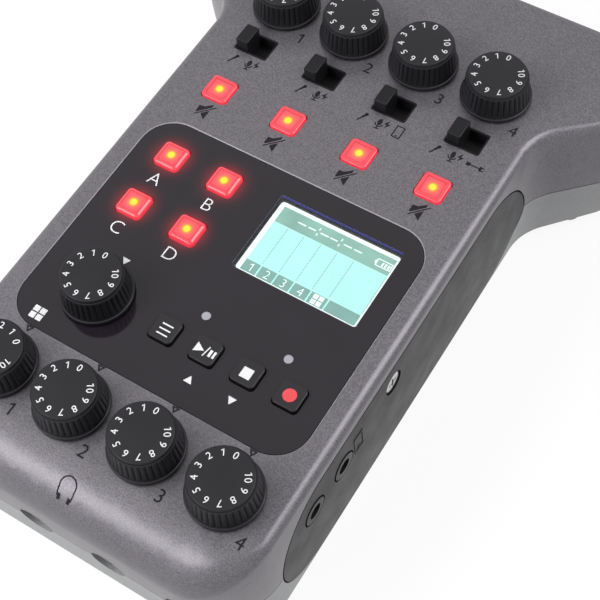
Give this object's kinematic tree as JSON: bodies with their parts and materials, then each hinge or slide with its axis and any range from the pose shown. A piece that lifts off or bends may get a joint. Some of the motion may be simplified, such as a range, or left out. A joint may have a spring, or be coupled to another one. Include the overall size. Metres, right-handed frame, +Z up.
{
  "type": "podcast recorder",
  "caption": "Table-top podcast recorder, waisted case with a wing of microphone sockets, dial knobs with numbered tops, lit buttons, a small screen and side jacks.",
  "frame": {"origin": "on the table under the middle of the case", "axes": "+X to the right of a person facing the dials, +Y to the rear with the microphone sockets, +Z up"},
  "size_m": [0.112, 0.1551, 0.047],
  "materials": {
    "upper_shell": "satin",
    "lower_shell": "satin",
    "side_grey": "matte",
    "panel_black": "gloss",
    "clear_window": "gloss",
    "display": "gloss",
    "black_plastic": "satin",
    "knob_black": "matte",
    "lit_red": "satin",
    "key_black": "satin",
    "lamp_clear": "gloss",
    "board_green": "satin",
    "steel": "satin",
    "spring_nickel": "satin",
    "cell_wrap": "gloss",
    "rubber_black": "matte"
  },
  "bodies": {
    "case": {"upper_case": "upper_shell", "lower_case": "lower_shell", "control_panel": "panel_black", "lcd_window": "clear_window", "lcd_screen": "display", "lcd_module": "black_plastic", "right_side_panel": "side_grey", "left_side_panel": "side_grey", "rear_panel": "black_plastic", "headphone_jacks": "black_plastic", "side_jacks": "black_plastic", "side_bolt": "steel", "usb_port": "steel", "card_slot": "steel", "switch_housings": "black_plastic", "potentiometers": "black_plastic", "button_switches": "rubber_black", "indicator_lights": "lamp_clear", "main_board": "board_green", "control_board": "board_green", "battery_cells": "cell_wrap", "battery_contacts": "spring_nickel", "screws": "steel", "rubber_feet": "rubber_black", "input_socket_1": "black_plastic", "input_socket_2": "black_plastic", "input_socket_3": "black_plastic", "input_socket_4": "black_plastic"},
    "gain_knob_1": {"gain_knob_1": "knob_black"},
    "gain_knob_2": {"gain_knob_2": "knob_black"},
    "gain_knob_3": {"gain_knob_3": "knob_black"},
    "gain_knob_4": {"gain_knob_4": "knob_black"},
    "headphone_knob_1": {"headphone_knob_1": "knob_black"},
    "headphone_knob_2": {"headphone_knob_2": "knob_black"},
    "headphone_knob_3": {"headphone_knob_3": "knob_black"},
    "headphone_knob_4": {"headphone_knob_4": "knob_black"},
    "pad_level_knob": {"pad_level_knob": "knob_black"},
    "mute_button_1": {"mute_button_1": "lit_red"},
    "mute_button_2": {"mute_button_2": "lit_red"},
    "mute_button_3": {"mute_button_3": "lit_red"},
    "mute_button_4": {"mute_button_4": "lit_red"},
    "pad_button_a": {"pad_button_a": "lit_red"},
    "pad_button_b": {"pad_button_b": "lit_red"},
    "pad_button_c": {"pad_button_c": "lit_red"},
    "pad_button_d": {"pad_button_d": "lit_red"},
    "menu_button": {"menu_button": "key_black"},
    "play_button": {"play_button": "key_black"},
    "stop_button": {"stop_button": "key_black"},
    "record_button": {"record_button": "key_black"},
    "selector_1": {"selector_1": "black_plastic"},
    "selector_2": {"selector_2": "black_plastic"},
    "selector_3": {"selector_3": "black_plastic"},
    "selector_4": {"selector_4": "black_plastic"},
    "power_switch": {"power_switch": "black_plastic"},
    "battery_door": {"battery_door": "lower_shell"},
    "card_cover": {"card_cover": "side_grey"},
    "input_latch_1": {"input_latch_1": "spring_nickel"},
    "input_latch_2": {"input_latch_2": "spring_nickel"},
    "input_latch_3": {"input_latch_3": "spring_nickel"},
    "input_latch_4": {"input_latch_4": "spring_nickel"}
  },
  "joints": [
    {"name": "gain_1_turn", "type": "hinge", "parent": "case", "child": "gain_knob_1", "pos_m": [-0.027, 0.049, 0.0396], "axis": [0, 0, -1], "range_deg": [0, 300]},
    {"name": "gain_2_turn", "type": "hinge", "parent": "case", "child": "gain_knob_2", "pos_m": [-0.009, 0.049, 0.0396], "axis": [0, 0, -1], "range_deg": [0, 300]},
    {"name": "gain_3_turn", "type": "hinge", "parent": "case", "child": "gain_knob_3", "pos_m": [0.009, 0.049, 0.0396], "axis": [0, 0, -1], "range_deg": [0, 300]},
    {"name": "gain_4_turn", "type": "hinge", "parent": "case", "child": "gain_knob_4", "pos_m": [0.027, 0.049, 0.0396], "axis": [0, 0, -1], "range_deg": [0, 300]},
    {"name": "headphone_1_turn", "type": "hinge", "parent": "case", "child": "headphone_knob_1", "pos_m": [-0.027, -0.0585, 0.0396], "axis": [0, 0, -1], "range_deg": [-48, 252]},
    {"name": "headphone_2_turn", "type": "hinge", "parent": "case", "child": "headphone_knob_2", "pos_m": [-0.009, -0.0585, 0.0396], "axis": [0, 0, -1], "range_deg": [0, 300]},
    {"name": "headphone_3_turn", "type": "hinge", "parent": "case", "child": "headphone_knob_3", "pos_m": [0.009, -0.0585, 0.0396], "axis": [0, 0, -1], "range_deg": [0, 300]},
    {"name": "headphone_4_turn", "type": "hinge", "parent": "case", "child": "headphone_knob_4", "pos_m": [0.027, -0.0585, 0.0396], "axis": [0, 0, -1], "range_deg": [0, 300]},
    {"name": "pad_level_turn", "type": "hinge", "parent": "case", "child": "pad_level_knob", "pos_m": [-0.0198, -0.0354, 0.0396], "axis": [0, 0, -1], "range_deg": [0, 300]},
    {"name": "mute_1_press", "type": "slide", "parent": "case", "child": "mute_button_1", "axis": [0, 0, -1], "range_m": [0, 0.0007], "stiffness_N_per_m": 800, "springref_m": -0.0004},
    {"name": "mute_2_press", "type": "slide", "parent": "case", "child": "mute_button_2", "axis": [0, 0, -1], "range_m": [0, 0.0007], "stiffness_N_per_m": 800, "springref_m": -0.0004},
    {"name": "mute_3_press", "type": "slide", "parent": "case", "child": "mute_button_3", "axis": [0, 0, -1], "range_m": [0, 0.0007], "stiffness_N_per_m": 800, "springref_m": -0.0004},
    {"name": "mute_4_press", "type": "slide", "parent": "case", "child": "mute_button_4", "axis": [0, 0, -1], "range_m": [0, 0.0007], "stiffness_N_per_m": 800, "springref_m": -0.0004},
    {"name": "pad_a_press", "type": "slide", "parent": "case", "child": "pad_button_a", "axis": [0, 0, -1], "range_m": [0, 0.0007], "stiffness_N_per_m": 800, "springref_m": -0.0004},
    {"name": "pad_b_press", "type": "slide", "parent": "case", "child": "pad_button_b", "axis": [0, 0, -1], "range_m": [0, 0.0007], "stiffness_N_per_m": 800, "springref_m": -0.0004},
    {"name": "pad_c_press", "type": "slide", "parent": "case", "child": "pad_button_c", "axis": [0, 0, -1], "range_m": [0, 0.0007], "stiffness_N_per_m": 800, "springref_m": -0.0004},
    {"name": "pad_d_press", "type": "slide", "parent": "case", "child": "pad_button_d", "axis": [0, 0, -1], "range_m": [0, 0.0007], "stiffness_N_per_m": 800, "springref_m": -0.0004},
    {"name": "menu_press", "type": "slide", "parent": "case", "child": "menu_button", "axis": [0, 0, -1], "range_m": [0, 0.0006], "stiffness_N_per_m": 1500, "springref_m": -0.0003},
    {"name": "play_press", "type": "slide", "parent": "case", "child": "play_button", "axis": [0, 0, -1], "range_m": [0, 0.0006], "stiffness_N_per_m": 1500, "springref_m": -0.0003},
    {"name": "stop_press", "type": "slide", "parent": "case", "child": "stop_button", "axis": [0, 0, -1], "range_m": [0, 0.0006], "stiffness_N_per_m": 1500, "springref_m": -0.0003},
    {"name": "record_press", "type": "slide", "parent": "case", "child": "record_button", "axis": [0, 0, -1], "range_m": [0, 0.0006], "stiffness_N_per_m": 1500, "springref_m": -0.0003},
    {"name": "selector_1_slide", "type": "slide", "parent": "case", "child": "selector_1", "axis": [1, 0, 0], "range_m": [0, 0.0041]},
    {"name": "selector_2_slide", "type": "slide", "parent": "case", "child": "selector_2", "axis": [1, 0, 0], "range_m": [0, 0.0041]},
    {"name": "selector_3_slide", "type": "slide", "parent": "case", "child": "selector_3", "axis": [1, 0, 0], "range_m": [0, 0.0041]},
    {"name": "selector_4_slide", "type": "slide", "parent": "case", "child": "selector_4", "axis": [1, 0, 0], "range_m": [0, 0.0041]},
    {"name": "power_slide", "type": "slide", "parent": "case", "child": "power_switch", "axis": [0, 1, 0], "range_m": [-0.002, 0.002]},
    {"name": "battery_door_hinge", "type": "hinge", "parent": "case", "child": "battery_door", "pos_m": [0, 0.0168, 0.0018], "axis": [1, 0, 0], "range_deg": [0, 90]},
    {"name": "card_cover_hinge", "type": "hinge", "parent": "case", "child": "card_cover", "pos_m": [-0.0397, -0.038, 0.0146], "axis": [0, -1, 0], "range_deg": [0, 90]},
    {"name": "latch_1_press", "type": "hinge", "parent": "case", "child": "input_latch_1", "pos_m": [-0.0375, 0.0705, 0.0296], "axis": [-1, 0, 0], "range_deg": [0, 8], "stiffness_Nm_per_rad": 0.08, "springref_deg": -5.73},
    {"name": "latch_2_press", "type": "hinge", "parent": "case", "child": "input_latch_2", "pos_m": [-0.0125, 0.0705, 0.0296], "axis": [-1, 0, 0], "range_deg": [0, 8], "stiffness_Nm_per_rad": 0.08, "springref_deg": -5.73},
    {"name": "latch_3_press", "type": "hinge", "parent": "case", "child": "input_latch_3", "pos_m": [0.0125, 0.0705, 0.0296], "axis": [-1, 0, 0], "range_deg": [0, 8], "stiffness_Nm_per_rad": 0.08, "springref_deg": -5.73},
    {"name": "latch_4_press", "type": "hinge", "parent": "case", "child": "input_latch_4", "pos_m": [0.0375, 0.0705, 0.0296], "axis": [-1, 0, 0], "range_deg": [0, 8], "stiffness_Nm_per_rad": 0.08, "springref_deg": -5.73}
  ]
}
